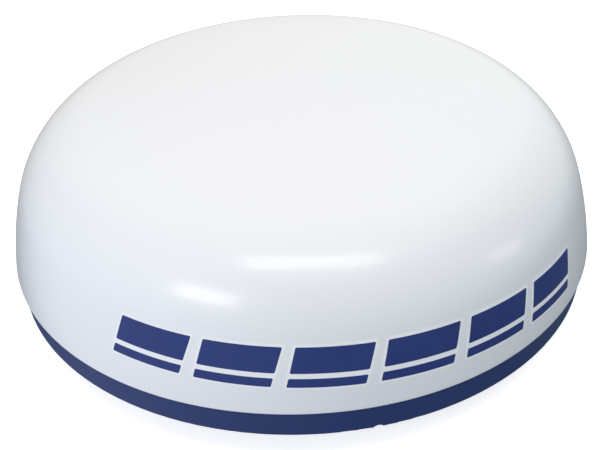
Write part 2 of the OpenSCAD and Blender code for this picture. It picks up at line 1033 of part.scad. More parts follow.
// Half of the angle that a tooth fills at radius r on a gear with n teeth.
function tooth_half_a(n, r) = let (
    pitch_r = gear_module * n / 2,
    base_r = pitch_r * cos(pressure_a)
) 90 / n + involute_deg(pressure_a) - involute_deg(acos(min(1, base_r / r)))
    - flank_relief / pitch_r * 180 / PI;

function gear_points(n) = let (
    root_r = gear_module * (n / 2 - 1.25),
    tip_r = gear_module * (n / 2 + 1) - 0.1
) [
    for (i = [0 : n - 1])
        for (side = [-1, 1])
            for (k = [0 : flank_steps])
                let (
                    up = side < 0 ? k : flank_steps - k,
                    r = root_r + (tip_r - root_r) * up / flank_steps,
                    a = 360 * i / n + side * tooth_half_a(n, r)
                ) [r * cos(a), r * sin(a)]
];

module main_gear() {
    color([0.9, 0.88, 0.8])
    difference() {
        translate([0, 0, gear_z])
            linear_extrude(gear_t)
                polygon(gear_points(gear_teeth));
        rod(hub_bore_r, gear_z - 1, gear_z + gear_t + 1);
        gear_screw_holes(m5_r + 0.2, gear_z - 1, gear_z + gear_t + 1);
        for (a = [0 : 60 : 300])
            around(49, [a])
                rod(9, gear_z - 1, gear_z + gear_t + 1);
        around(flag_r, [flag_a])
            block([-1, -3.2, gear_z - 1], [1, 3.2, gear_z + 3]);
    }
}

module heading_flag() {
    color([0.2, 0.2, 0.22])
    around(flag_r, [flag_a])
        union() {
            block([-0.8, -6, flag_low_z], [0.8, 6, gear_z]);
            block([-1, -3.2, gear_z - 0.5], [1, 3.2, gear_z + 3]);
        }
}

module gear_screws() {
    color([0.74, 0.75, 0.77])
    around(gear_screw_r, gear_screw_angles)
        translate([0, 0, foot_top_z])
            cap_screw(m5_r, foot_top_z - hub_flange_z);
}

module radiator_bracket() {
    foot_z = gear_z + gear_t;
    back = array_back_y;
    color([0.66, 0.68, 0.7])
    difference() {
        union() {
            rod(upright_x, foot_z, foot_top_z);
            block([-upright_x, 0, foot_z], [upright_x, heel_y, foot_top_z]);
            block([-upright_x, back, foot_z], [upright_x, back + upright_t, upright_top_z]);
            for (s = [-1, 1])
                translate([s * (upright_x - 1.5), 0, 0])
                    rotate([90, 0, 90])
                        translate([0, 0, -1.5])
                            linear_extrude(3)
                                polygon([[back + 1, foot_top_z - 1], [heel_y, foot_top_z - 1],
                                         [back + 1, 136]]);
        }
        rod(hub_bore_r, foot_z - 1, foot_top_z + 1);
        gear_screw_holes(m5_r + 0.2, foot_z - 1, foot_top_z + 1);
        block([-8, back - 1, foot_top_z], [8, back + upright_t + 1, 140]);
        bracket_screw_places()
            cylinder(r = m4_r + 0.2, h = 3 * upright_t, center = true, $fn = 24);
    }
}

module bracket_screw_places() {
    for (s = [-1, 1])
        for (z = bracket_screw_z)
            translate([s * bracket_screw_x, array_back_y + upright_t, z])
                rotate([-90, 0, 0])
                    children();
}

module bracket_screws() {
    color([0.74, 0.75, 0.77])
    bracket_screw_places()
        cap_screw(m4_r, m4_l);
}

module radiator_channel() {
    half = array_l / 2;
    front = -array_d / 2;
    color([0.78, 0.79, 0.81])
    difference() {
        block([-half, front, array_z], [half, array_back_y, array_z + array_h]);
        block([-half - 1, front - 1, array_z + channel_t],
              [half + 1, array_back_y - channel_t, array_z + array_h - channel_t]);
        bracket_screw_places()
            cylinder(r = m4_r, h = 8 * channel_t, center = true, $fn = 24);
        translate([0, array_back_y, feed_z])
            rotate([90, 0, 0])
                cylinder(r = 3, h = 3 * channel_t, center = true, $fn = 24);
    }
}

module radiator_board() {
    color([0.85, 0.82, 0.7])
    block([-array_l / 2, board_y, array_z + channel_t],
          [array_l / 2, board_y + board_t, array_z + array_h - channel_t]);
}

module radiator_patches() {
    pitch = (array_l - 14) / patch_count;
    size = 0.62 * pitch;
    color([0.8, 0.52, 0.3])
    for (i = [0 : patch_count - 1])
        for (row = [-1, 0, 1]) {
            x = (i - (patch_count - 1) / 2) * pitch;
            z = array_z + array_h / 2 + row * (array_h / 3 - 3);
            block([x - size / 2, board_y - patch_t, z - size / 2], [x + size / 2, board_y, z + size / 2]);
        }
}

module radiator_end_caps() {
    color([0.13, 0.13, 0.14])
    for (s = [-1, 1])
        scale([s, 1, 1]) {
            block([array_l / 2, -array_d / 2, array_z],
                  [array_l / 2 + end_cap_t, array_back_y, array_z + array_h]);
        }
}

// Line from the rotary joint up to the connector on the array's back.
module radiator_feed() {
    run_z = 102.2;
    turn_y = array_back_y + 13;
    r = 1.5;
    b = 3.4;
    color([0.8, 0.66, 0.38])
    union() {
        rod(hub_bore_r - 0.1, 90, run_z - b);
        along_y() {
            elbow([b, run_z - b], 90, b, r);
            leg([b, run_z], [turn_y - b, run_z], r);
            elbow([turn_y - b, run_z + b], -90, b, r);
            leg([turn_y, run_z + b], [turn_y, feed_z - b], r);
            elbow([turn_y - b, feed_z - b], 0, b, r);
            leg([turn_y - b, feed_z], [array_back_y + 4, feed_z], r);
        }
        translate([0, array_back_y, feed_z])
            rotate([-90, 0, 0])
                cylinder(r = 5, h = 5, $fn = 6);
        translate([0, array_back_y + 1, feed_z])
            rotate([90, 0, 0])
                cylinder(r = 3, h = 6, $fn = 24);
    }
}

// ---------------------------------------------------------------- rolling elements

module bearing_balls() {
    color([0.85, 0.86, 0.88])
    for (z0 = bearing_z)
        around(ball_ring_r, [for (i = [0 : ball_count - 1]) i * 360 / ball_count])
            translate([0, 0, z0 + bearing_w / 2])
                sphere(r = ball_r, $fn = round_fn);
}

module ball_cages() {
    color([0.62, 0.5, 0.3])
    for (z0 = bearing_z)
        difference() {
            tube(ball_ring_r + 1.6, ball_ring_r - 1.6, z0 + 2.5, z0 + bearing_w - 2.5);
            around(ball_ring_r, [for (i = [0 : ball_count - 1]) i * 360 / ball_count])
                translate([0, 0, z0 + bearing_w / 2])
                    sphere(r = ball_r + ball_fit, $fn = round_fn);
        }
}

// ---------------------------------------------------------------- motor pinion

module motor_pinion() {
    color([0.7, 0.71, 0.73])
    translate([0, motor_y, 0])
        union() {
            translate([0, 0, pinion_z])
                rotate([0, 0, 90 + 180 / pinion_teeth])
                    linear_extrude(pinion_t)
                        polygon(gear_points(pinion_teeth));
            rod(9, pinion_z + pinion_t - 0.1, pinion_z + pinion_t + 3);
            rod(motor_shaft_r, bracket_z - 22, pinion_z + pinion_t);
        }
}

// ---------------------------------------------------------------- lift-off cover

module radome_cover() {
    color([0.93, 0.94, 0.95])
    difference() {
        union() {
            rotate_extrude($fn = fine)
                difference() {
                    dome_half(0, seam_z);
                    dome_half(cover_t, seam_z - 1);
                }
            intersection() {
                union() {
                    tube(seam_r, groove_in_r + 1, seam_z, seam_z + rim_ring_h);
                    around(bolt_ring_r, bolt_angles) {
                        rod(cover_boss_r, seam_z, cover_boss_top);
                        block([0, -4, seam_z], [seam_r - bolt_ring_r, 4, cover_boss_top]);
                    }
                }
                dome_solid(cover_t / 2, seam_z);
            }
            tube(groove_out_r - 1, groove_in_r + 1, groove_z + gasket_h + tongue_gap, seam_z + 1);
        }
        around(bolt_ring_r, bolt_angles)
            rod(cover_insert_r, seam_z - 1, bolt_tip_z + 2);
        // Bevel on the outer lower edge.
        rotate_extrude($fn = fine)
            polygon([[seam_r - 1.2, seam_z - 1], [seam_r + 2, seam_z - 1], [seam_r + 2, seam_z + 2.2]]);
    }
}

module cover_inserts() {
    color([0.78, 0.62, 0.32])
    around(bolt_ring_r, bolt_angles)
        tube(cover_insert_r, bolt_r + thread_fit, seam_z + 0.3, seam_z + 0.3 + cover_insert_h);
}

// A skin of the given thickness that lies on the outside of the cover's wall.
module wall_skin(lower, upper, margin) {
    skin_h = decal_h / 2 + margin + decal_step_z * decal_blocks / 2 + 1;
    rotate_extrude($fn = fine)
        intersection() {
            difference() {
                translate([wall_cr, wall_cz])
                    circle(r = wall_r + upper, $fn = fine);
                translate([wall_cr, wall_cz])
                    circle(r = wall_r + lower, $fn = fine);
            }
            translate([seam_r / 2, decal_mid_z - skin_h])
                square([seam_r, 2 * skin_h]);
        }
}

// One slanted block of the decal, split by a gap into a broad and a narrow stripe.
module decal_outline(margin) {
    half = decal_h / 2;
    slant = decal_slant / decal_h;
    stripe_gap = 5;
    narrow_stripe_h = 11;
    split = -half + narrow_stripe_h;
    for (span = [[-half, split - stripe_gap / 2], [split + stripe_gap / 2, half]]) {
        z0 = span[0] - margin;
        z1 = span[1] + margin;
        w = decal_block_w / 2 + margin;
        polygon([[-w + slant * z0, z0], [w + slant * z0, z0], [w + slant * z1, z1], [-w + slant * z1, z1]]);
    }
}

module decal_prisms(margin) {
    for (i = [0 : decal_blocks - 1])
        let (from_bow = i - (decal_blocks - 1) / 2)
            rotate([0, 0, from_bow * decal_pitch_a])
                translate([0, 0, decal_mid_z - from_bow * decal_step_z])
                    rotate([90, decal_fall, 0])
                        linear_extrude(seam_r + 10)
                            decal_outline(margin);
}

module decal_film() {
    color([0.97, 0.97, 0.98])
    intersection() {
        wall_skin(0, film_t, film_margin);
        decal_prisms(film_margin);
    }
}

module decal_marks() {
    color([0.13, 0.22, 0.5])
    intersection() {
        wall_skin(film_t, 2 * film_t, film_margin);
        decal_prisms(0);
    }
}

radome_base();
rim_gasket();
mounting_inserts();
cover_bolts();
bolt_washers();
inlet_sockets();
socket_contacts();
socket_nuts();
inlet_leads();
breather_vent();
chassis_plate();
m5_screws();
bearing_housing();
bearing_retainers();
bearing_outer_rings();
rotary_joint_stator();
drive_motor();
motor_bracket();
m3_screws();
magnetron();
magnetron_magnets();
magnetron_yoke();
waveguide_link();
circulator();
receiver_module();
feed_line();
modulator_board();
pulse_transformer();
modulator_heatsink();
hv_capacitors();
power_board();
power_capacitors();
power_inductors();
processor_board();
processor_shield();
processor_chips();
board_connectors();
board_standoffs();
heading_sensor();
antenna_hub();
hub_nut();
bearing_inner_rings();
main_gear();
gear_screws();
heading_flag();
radiator_bracket();
bracket_screws();
radiator_channel();
radiator_board();
radiator_patches();
radiator_end_caps();
radiator_feed();
bearing_balls();
ball_cages();
motor_pinion();
radome_cover();
cover_inserts();
decal_film();
decal_marks();
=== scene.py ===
"""Radar dome antenna: looks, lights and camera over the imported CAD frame."""
import json
import math

import bmesh
import bpy
from mathutils import Matrix, Vector


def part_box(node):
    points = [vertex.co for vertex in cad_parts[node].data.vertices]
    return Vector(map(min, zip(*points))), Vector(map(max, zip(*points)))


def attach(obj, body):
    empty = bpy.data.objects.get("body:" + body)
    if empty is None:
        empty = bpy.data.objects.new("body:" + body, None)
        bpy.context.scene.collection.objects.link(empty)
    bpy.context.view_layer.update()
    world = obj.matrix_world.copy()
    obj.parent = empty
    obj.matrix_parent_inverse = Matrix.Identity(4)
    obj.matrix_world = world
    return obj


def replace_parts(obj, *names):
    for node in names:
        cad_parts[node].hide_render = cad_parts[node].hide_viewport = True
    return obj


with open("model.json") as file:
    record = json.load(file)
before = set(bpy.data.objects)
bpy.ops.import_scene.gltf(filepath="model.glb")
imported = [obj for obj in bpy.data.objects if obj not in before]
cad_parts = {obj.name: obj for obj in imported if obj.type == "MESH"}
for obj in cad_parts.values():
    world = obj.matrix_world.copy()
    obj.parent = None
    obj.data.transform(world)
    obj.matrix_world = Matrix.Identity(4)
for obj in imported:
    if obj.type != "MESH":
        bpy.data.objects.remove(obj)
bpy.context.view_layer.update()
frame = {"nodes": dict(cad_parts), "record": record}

MM = 0.001

# ------------------------------------------------------------------ dimensions, in metres
SEAM_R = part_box("radome_cover")[1].x
SEAM_Z = 68 * MM
WALL_LEAN = math.radians(5.9)
WALL_H = 72.6 * MM
WALL_ARC = 387.5 * MM
SHOULDER_ARC = 111 * MM
CROWN_ARC = 930 * MM
COVER_T = 4 * MM
RIM_RING_H = 6 * MM
RIM_BEVEL = 1.2 * MM
TONGUE_R = (SEAM_R - 12.4 * MM, SEAM_R - 9.6 * MM)
TONGUE_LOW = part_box("radome_cover")[0].z
BOLT_RING_R = SEAM_R - 24 * MM
BOSS_R = 9 * MM
BOSS_TOP = SEAM_Z + 24 * MM
INSERT_R = 4.4 * MM
FILM_T = 0.15 * MM

WALL_C = Vector((SEAM_R - WALL_ARC * math.cos(WALL_LEAN), SEAM_Z - WALL_ARC * math.sin(WALL_LEAN)))
SHOULDER_A = math.asin(WALL_H / WALL_ARC + math.sin(WALL_LEAN))
SHOULDER_C = WALL_C + (WALL_ARC - SHOULDER_ARC) * Vector((math.cos(SHOULDER_A), math.sin(SHOULDER_A)))
CROWN_A = math.acos(SHOULDER_C.x / (CROWN_ARC - SHOULDER_ARC))
CROWN_C = Vector((0, SHOULDER_C.y - (CROWN_ARC - SHOULDER_ARC) * math.sin(CROWN_A)))


# ------------------------------------------------------------------ node-tree helpers
RANGE_INPUTS = ("From Min", "From Max", "To Min", "To Max")


class Shader:
    """A Principled material with short calls for its procedural nodes."""

    def __init__(self, name, **constants):
        self.material = bpy.data.materials.new(name)
        self.material.use_nodes = True
        self.tree = self.material.node_tree
        self.bsdf = self.tree.nodes["Principled BSDF"]
        self.coords = self.tree.nodes.new("ShaderNodeTexCoord").outputs["Object"]
        for socket, value in constants.items():
            self.bsdf.inputs[socket.replace("_", " ")].default_value = value

    def node(self, kind, **settings):
        made = self.tree.nodes.new(kind)
        for key, value in settings.items():
            setattr(made, key, value)
        return made

    def link(self, source, target):
        self.tree.links.new(source, target)

    def feed(self, socket, source):
        self.link(source, self.bsdf.inputs[socket])

    def stretch(self, scale, turn=(0, 0, 0)):
        """Object coordinates multiplied by scale, for grain that runs one way."""
        made = self.node("ShaderNodeMapping")
        made.inputs["Scale"].default_value = scale
        made.inputs["Rotation"].default_value = turn
        self.link(self.coords, made.inputs["Vector"])
        return made.outputs["Vector"]

    def noise(self, scale, detail=3.0, rough=0.55, vector=None):
        made = self.node("ShaderNodeTexNoise")
        made.inputs["Scale"].default_value = scale
        made.inputs["Detail"].default_value = detail
        made.inputs["Roughness"].default_value = rough
        self.link(vector or self.coords, made.inputs["Vector"])
        return made.outputs["Fac"]

    def cells(self, scale, feature="F1", vector=None):
        made = self.node("ShaderNodeTexVoronoi", feature=feature)
        made.inputs["Scale"].default_value = scale
        self.link(vector or self.coords, made.inputs["Vector"])
        return made.outputs["Distance"]

    def span(self, source, from_lo, from_hi, to_lo, to_hi):
        made = self.node("ShaderNodeMapRange")
        for key, value in zip(RANGE_INPUTS, (from_lo, from_hi, to_lo, to_hi)):
            made.inputs[key].default_value = value
        self.link(source, made.inputs["Value"])
        return made.outputs["Result"]

    def math(self, operation, a, b=0.0):
        made = self.node("ShaderNodeMath", operation=operation)
        for socket, value in zip(made.inputs, (a, b)):
            if isinstance(value, (int, float)):
                socket.default_value = value
            else:
                self.link(value, socket)
        return made.outputs["Value"]

    def mix(self, factor, a, b, blend="MIX"):
        """Colour mix. a and b are RGB tuples or colour outputs; factor is a number or an output."""
        made = self.node("ShaderNodeMix", data_type="RGBA", blend_type=blend)
        for socket, value in ((made.inputs[0], factor), (made.inputs[6], a), (made.inputs[7], b)):
            if isinstance(value, tuple):
                socket.default_value = (*value, 1)
            elif isinstance(value, (int, float)):
                socket.default_value = value
            else:
                self.link(value, socket)
        return made.outputs[2]

    def axes(self):
        made = self.node("ShaderNodeSeparateXYZ")
        self.link(self.coords, made.inputs["Vector"])
        return made.outputs["X"], made.outputs["Y"], made.outputs["Z"]

    def bump(self, height, strength, distance):
        """Adds a bump layer on top of those already fed to the shader."""
        made = self.node("ShaderNodeBump")
        made.inputs["Strength"].default_value = strength
        made.inputs["Distance"].default_value = distance
        self.link(height, made.inputs["Height"])
        normal = self.bsdf.inputs["Normal"]
        if normal.is_linked:
            self.link(normal.links[0].from_socket, made.inputs["Normal"])
        self.link(made.outputs["Normal"], normal)

    def edge_wear(self, radius, lo, hi):
        """1 where an edge is worn bright, from the shader's rounded-corner normal."""
        bevel = self.node("ShaderNodeBevel", samples=4)
        bevel.inputs["Radius"].default_value = radius
        geometry = self.node("ShaderNodeNewGeometry")
        dot = self.node("ShaderNodeVectorMath", operation="DOT_PRODUCT")
        self.link(bevel.outputs["Normal"], dot.inputs[0])
        self.link(geometry.outputs["Normal"], dot.inputs[1])
        return self.span(dot.outputs["Value"], hi, lo, 0.0, 1.0)


# ------------------------------------------------------------------ materials
def gelcoat_white():
    """Glossy white moulding: faint clouding, a very fine grain and a trace of orange peel.

    Its roughness stays above 0.28, because faint outlined patches appeared in the denoised
    render where it passed through about 0.274.
    """
    s = Shader("white_gelcoat", Coat_Weight=0.5, Coat_Roughness=0.14, IOR=1.48)
    cloud = s.noise(4.0, 2.0, 0.4)
    fine = s.noise(90.0, 3.0, 0.6)
    tone = s.mix(s.span(cloud, 0.1, 0.9, 0.0, 1.0), (0.808, 0.821, 0.839), (0.832, 0.844, 0.861))
    tone = s.mix(s.span(fine, 0.1, 0.9, 0.0, 0.12), tone, (0.78, 0.795, 0.81))
    grain = s.noise(620.0, 2.0, 0.6)
    tone = s.mix(s.span(grain, 0.25, 0.75, 0.0, 0.40), tone, (0.76, 0.775, 0.795))
    s.feed("Base Color", tone)
    s.feed("Roughness", s.span(s.noise(9.0, 3.0, 0.5), 0.1, 0.9, 0.285, 0.335))
    s.bump(s.noise(330.0, 2.0, 0.5), 0.05, 0.0001)
    return s.material


def blue_moulding():
    """Dark blue glossy moulding of the base pan, softly clouded and a little rubbed along its edges."""
    s = Shader("blue_base", Coat_Weight=0.06, Coat_Roughness=0.10, IOR=1.45, Specular_IOR_Level=0.10)
    cloud = s.noise(9.0, 4.0, 0.6)
    tone = s.mix(s.span(cloud, 0.3, 0.7, 0.0, 1.0), (0.027, 0.048, 0.150), (0.033, 0.058, 0.174))
    patches = s.span(s.noise(120.0, 4.0, 0.7), 0.45, 0.65, 0.0, 0.25)
    wear = s.math("MULTIPLY", s.edge_wear(0.0006, 0.80, 0.97), patches)
    s.feed("Base Color", s.mix(wear, tone, (0.10, 0.15, 0.33)))
    s.feed("Roughness", s.span(s.noise(45.0, 5.0, 0.65), 0.3, 0.7, 0.30, 0.40))
    s.bump(s.noise(420.0, 3.0, 0.6), 0.05, 0.0001)
    return s.material


def vinyl(name, light, dark, rough):
    """Cut vinyl film: even colour, slight orange peel and hairline scratches."""
    s = Shader(name, Coat_Weight=0.06, Coat_Roughness=0.12, Specular_IOR_Level=0.12)
    s.feed("Base Color", s.mix(s.span(s.noise(26.0, 4.0, 0.6), 0.3, 0.7, 0.0, 1.0), dark, light))
    scratch = s.noise(300.0, 2.0, 0.5, s.stretch((1.0, 1.0, 26.0)))
    s.feed("Roughness", s.span(scratch, 0.35, 0.75, rough - 0.05, rough + 0.08))
    s.bump(s.noise(500.0, 2.0, 0.5), 0.10, 0.0001)
    return s.material


def metal(name, light, dark, rough, grain=None, cast=0.0):
    """Metal with grain along one direction, or a cast skin, and bright worn edges."""
    s = Shader(name, Metallic=1.0)
    vector = s.stretch(grain) if grain else None
    streak = s.noise(260.0 if grain else 90.0, 4.0, 0.65, vector)
    blotch = s.noise(24.0, 4.0, 0.6)
    tone = s.mix(s.span(streak, 0.3, 0.7, 0.0, 1.0), dark, light)
    tone = s.mix(s.span(blotch, 0.45, 0.8, 0.0, 0.35), tone, tuple(0.72 * c for c in dark))
    bright = tuple(min(1.0, 1.18 * c) for c in light)
    s.feed("Base Color", s.mix(s.edge_wear(0.0004, 0.75, 0.97), tone, bright))
    s.feed("Roughness", s.span(streak, 0.25, 0.75, rough - 0.08, rough + 0.1))
    s.bump(streak, 0.10 + cast, 0.00015 + 0.0004 * cast)
    if cast:
        s.bump(s.noise(700.0, 3.0, 0.7), cast, 0.0003)
    return s.material


def turned_metal(name, light, dark, rough):
    """Metal turned or ground on a lathe: fine rings about the spin axis."""
    s = Shader(name, Metallic=1.0)
    rings_per_metre = 9000.0
    x, y, z = s.axes()
    radius = s.math("SQRT", s.math("ADD", s.math("MULTIPLY", x, x), s.math("MULTIPLY", y, y)))
    rings = s.math("SINE", s.math("MULTIPLY", s.math("ADD", radius, z), rings_per_metre))
    tone = s.mix(s.span(s.noise(60.0, 4.0, 0.6), 0.3, 0.7, 0.0, 1.0), dark, light)
    s.feed("Base Color", tone)
    s.feed("Roughness", s.span(s.noise(150.0, 3.0, 0.6), 0.3, 0.7, rough - 0.05, rough + 0.08))
    s.bump(rings, 0.06, 0.00005)
    return s.material


def moulded(name, light, dark, rough, grain, depth, wear):
    """Injection-moulded or rubber surface with a fine spark-eroded grain."""
    s = Shader(name)
    tone = s.mix(s.span(s.noise(35.0, 4.0, 0.6), 0.3, 0.7, 0.0, 1.0), dark, light)
    patches = s.span(s.noise(200.0, 3.0, 0.6), 0.4, 0.7, 0.0, 0.4)
    rub = s.math("MULTIPLY", s.edge_wear(0.0005, 0.78, 0.97), patches)
    s.feed("Base Color", s.mix(rub, tone, wear))
    s.feed("Roughness", s.span(s.noise(80.0, 4.0, 0.6), 0.3, 0.7, rough - 0.07, rough + 0.07))
    s.bump(s.noise(grain, 3.0, 0.6), depth, 0.0003)
    return s.material


def circuit_board(name, mask, trace):
    """Solder-mask laminate with copper tracks, filled areas and tinned vias showing through."""
    s = Shader(name, Coat_Weight=0.4, Coat_Roughness=0.15)
    x, y, _ = s.axes()
    track_pitch = 0.0021
    area = 0.014
    snapped = s.node("ShaderNodeVectorMath", operation="SNAP")
    s.link(s.coords, snapped.inputs[0])
    snapped.inputs[1].default_value = (area, area, 1.0)
    pick = s.node("ShaderNodeTexWhiteNoise", noise_dimensions="3D")
    s.link(snapped.outputs["Vector"], pick.inputs["Vector"])
    run_x = s.math("GREATER_THAN", pick.outputs["Value"], 0.5)
    lines = []
    for coordinate in (x, y):
        wave = s.math("PINGPONG", coordinate, track_pitch / 2)
        lines.append(s.span(wave, track_pitch * 0.30, track_pitch * 0.34, 0.0, 1.0))
    chosen = s.math("ADD", s.math("MULTIPLY", lines[0], run_x),
                    s.math("MULTIPLY", lines[1], s.math("SUBTRACT", 1.0, run_x)))
    pour = s.span(s.noise(42.0, 1.0, 0.3), 0.56, 0.57, 0.0, 1.0)
    copper = s.math("MAXIMUM", chosen, pour)
    via = s.span(s.cells(190.0), 0.10, 0.13, 1.0, 0.0)
    tone = s.mix(copper, mask, trace)
    tone = s.mix(s.math("MULTIPLY", via, 0.85), tone, (0.62, 0.60, 0.55))
    shade = tuple(0.5 * c for c in mask)
    tone = s.mix(s.span(s.noise(15.0, 3.0, 0.6), 0.35, 0.75, 0.0, 0.25), tone, shade)
    s.feed("Base Color", tone)
    s.feed("Roughness", s.span(s.noise(220.0, 3.0, 0.6), 0.3, 0.7, 0.28, 0.42))
    s.bump(copper, 0.35, 0.00006)
    s.bump(via, 0.4, 0.00008)
    return s.material


def array_laminate():
    """Pale microwave laminate with the glass weave just visible."""
    s = Shader("array_laminate", Coat_Weight=0.2, Coat_Roughness=0.3)
    x, _, z = s.axes()
    weave_step = 0.0011
    weave = s.math("MULTIPLY", s.math("SINE", s.math("MULTIPLY", x, math.tau / weave_step)),
                   s.math("SINE", s.math("MULTIPLY", z, math.tau / weave_step)))
    tone = s.mix(s.span(weave, -1.0, 1.0, 0.0, 1.0), (0.60, 0.56, 0.42), (0.70, 0.66, 0.53))
    tone = s.mix(s.span(s.noise(18.0, 3.0, 0.6), 0.35, 0.75, 0.0, 0.3), tone, (0.52, 0.47, 0.34))
    s.feed("Base Color", tone)
    s.feed("Roughness", s.span(s.noise(160.0, 3.0, 0.6), 0.3, 0.7, 0.38, 0.52))
    s.bump(weave, 0.10, 0.00005)
    return s.material


def wound_copper():
    """Enamelled copper: colour drifting from bright to brown."""
    s = Shader("copper", Metallic=1.0)
    drift = s.span(s.noise(55.0, 4.0, 0.65), 0.3, 0.7, 0.0, 1.0)
    spots = s.span(s.noise(190.0, 3.0, 0.6), 0.55, 0.8, 0.0, 0.5)
    tone = s.mix(drift, (0.62, 0.27, 0.13), (0.86, 0.47, 0.27))
    s.feed("Base Color", s.mix(spots, tone, (0.34, 0.15, 0.08)))
    s.feed("Roughness", s.span(s.noise(130.0, 4.0, 0.6), 0.3, 0.7, 0.24, 0.42))
    s.bump(s.noise(900.0, 2.0, 0.6), 0.12, 0.0001)
    return s.material


# Metals: light and dark tone, roughness, and further settings.
METALS = {
    "stainless": ((0.72, 0.73, 0.74), (0.55, 0.56, 0.57), 0.27),
    "dark_steel": ((0.30, 0.31, 0.32), (0.17, 0.175, 0.18), 0.38),
    "cast_aluminium": ((0.66, 0.67, 0.68), (0.50, 0.51, 0.52), 0.44, None, 0.35),
    "sheet_aluminium": ((0.74, 0.75, 0.76), (0.60, 0.61, 0.62), 0.34, (0.04, 1.0, 1.0)),
    "black_anodised": ((0.070, 0.070, 0.075), (0.035, 0.035, 0.038), 0.40),
    "brass": ((0.80, 0.60, 0.26), (0.60, 0.42, 0.16), 0.28),
    "tin": ((0.78, 0.78, 0.77), (0.64, 0.64, 0.63), 0.30, (1.0, 0.05, 1.0)),
}
# Mouldings and rubber: light and dark tone, roughness, grain scale, grain depth, worn tone.
MOULDINGS = {
    "magnet": ((0.050, 0.050, 0.054), (0.030, 0.030, 0.033), 0.55, 350.0, 0.3, (0.12, 0.12, 0.12)),
    "rubber": ((0.028, 0.028, 0.030), (0.018, 0.018, 0.019), 0.62, 500.0, 0.3, (0.08, 0.08, 0.08)),
    "black_plastic": ((0.034, 0.034, 0.036), (0.022, 0.022, 0.024), 0.42, 800.0, 0.25, (0.3, 0.3, 0.3)),
    "motor_black": ((0.055, 0.056, 0.060), (0.035, 0.036, 0.040), 0.34, 300.0, 0.2, (0.35, 0.35, 0.36)),
    "gear_nylon": ((0.76, 0.73, 0.62), (0.68, 0.64, 0.53), 0.40, 400.0, 0.15, (0.85, 0.83, 0.75)),
    "connector_nylon": ((0.78, 0.76, 0.68), (0.70, 0.67, 0.58), 0.45, 500.0, 0.2, (0.9, 0.88, 0.8)),
    "capacitor_sleeve": ((0.035, 0.045, 0.10), (0.022, 0.030, 0.07), 0.24, 200.0, 0.1, (0.3, 0.3, 0.3)),
    "film_capacitor": ((0.72, 0.33, 0.07), (0.58, 0.24, 0.05), 0.25, 260.0, 0.25, (0.8, 0.5, 0.2)),
}
# One material per slot of the record.
MATERIALS = {
    "white_gelcoat": gelcoat_white(),
    "blue_base": blue_moulding(),
    "decal_blue": vinyl("decal_blue", (0.031, 0.052, 0.192), (0.027, 0.046, 0.174), 0.32),
    "decal_white": vinyl("decal_white", (0.88, 0.89, 0.90), (0.85, 0.86, 0.875), 0.28),
    "bearing_steel": turned_metal("bearing_steel", (0.80, 0.81, 0.82), (0.66, 0.67, 0.68), 0.14),
    "copper": wound_copper(),
    "board_green": circuit_board("board_green", (0.012, 0.085, 0.032), (0.035, 0.17, 0.065)),
    "board_blue": circuit_board("board_blue", (0.010, 0.035, 0.12), (0.025, 0.075, 0.22)),
    "array_laminate": array_laminate(),
}
MATERIALS.update({name: metal(name, *look) for name, look in METALS.items()})
MATERIALS.update({name: moulded(name, *look) for name, look in MOULDINGS.items()})


def paint_cad_nodes():
    """Gives every CAD node the full material of its record slot."""
    slots = {p["node"]: p["material_slot"] for p in frame["record"]["subparts"]}
    for name, obj in frame["nodes"].items():
        obj.data.materials.clear()
        obj.data.materials.append(MATERIALS[slots[name]])


# ------------------------------------------------------------------ mesh helpers
def make_object(name, mesh_data, body, slot, smooth_angle=35.0):
    """A piece from a finished bmesh, smooth but for its steep edges, riding on its body."""
    mesh = bpy.data.meshes.new(name)
    bmesh.ops.recalc_face_normals(mesh_data, faces=mesh_data.faces)
    mesh_data.to_mesh(mesh)
    mesh_data.free()
    mesh.shade_smooth()
    mesh.set_sharp_from_angle(angle=math.radians(smooth_angle))
    mesh.materials.append(MATERIALS[slot])
    obj = bpy.data.objects.new(name, mesh)
    bpy.context.scene.collection.objects.link(obj)
    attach(obj, body)
    return obj


ON_AXIS = 1e-6


def arc(centre, radius, start, end, steps):
    """Points (r, z) along an arc, both ends included."""
    angles = [start + (end - start) * i / steps for i in range(steps + 1)]
    return [(centre[0] + radius * math.cos(a), centre[1] + radius * math.sin(a)) for a in angles]


def lathe(bm, profile, segments):
    """Turns a profile of (r, z) points about Z. A point on the axis becomes one pole vertex."""
    rings = []
    for r, z in profile:
        if r < ON_AXIS:
            rings.append([bm.verts.new((0, 0, z))])
            continue
        step = math.tau / segments
        turns = [i * step for i in range(segments)]
        rings.append([bm.verts.new((r * math.cos(a), r * math.sin(a), z)) for a in turns])
    for low, high in zip(rings, rings[1:]):
        for i in range(segments):
            j = (i + 1) % segments
            if len(low) == 1:
                bm.faces.new((low[0], high[i], high[j]))
            elif len(high) == 1:
                bm.faces.new((low[i], low[j], high[0]))
            else:
                bm.faces.new((low[i], low[j], high[j], high[i]))


def dome_line(inset, low_z, steps=28):
    """The dome's outline from low_z on the wall up to the axis, inset from the outer surface."""
    low_a = math.asin((low_z - WALL_C.y) / (WALL_ARC - inset))
    wall = arc(WALL_C, WALL_ARC - inset, low_a, SHOULDER_A, steps)
    shoulder = arc(SHOULDER_C, SHOULDER_ARC - inset, SHOULDER_A, CROWN_A, steps)
    crown = arc(CROWN_C, CROWN_ARC - inset, CROWN_A, math.pi / 2, steps)
    return wall + shoulder[1:] + crown[1:-1] + [(0.0, crown[-1][1])]


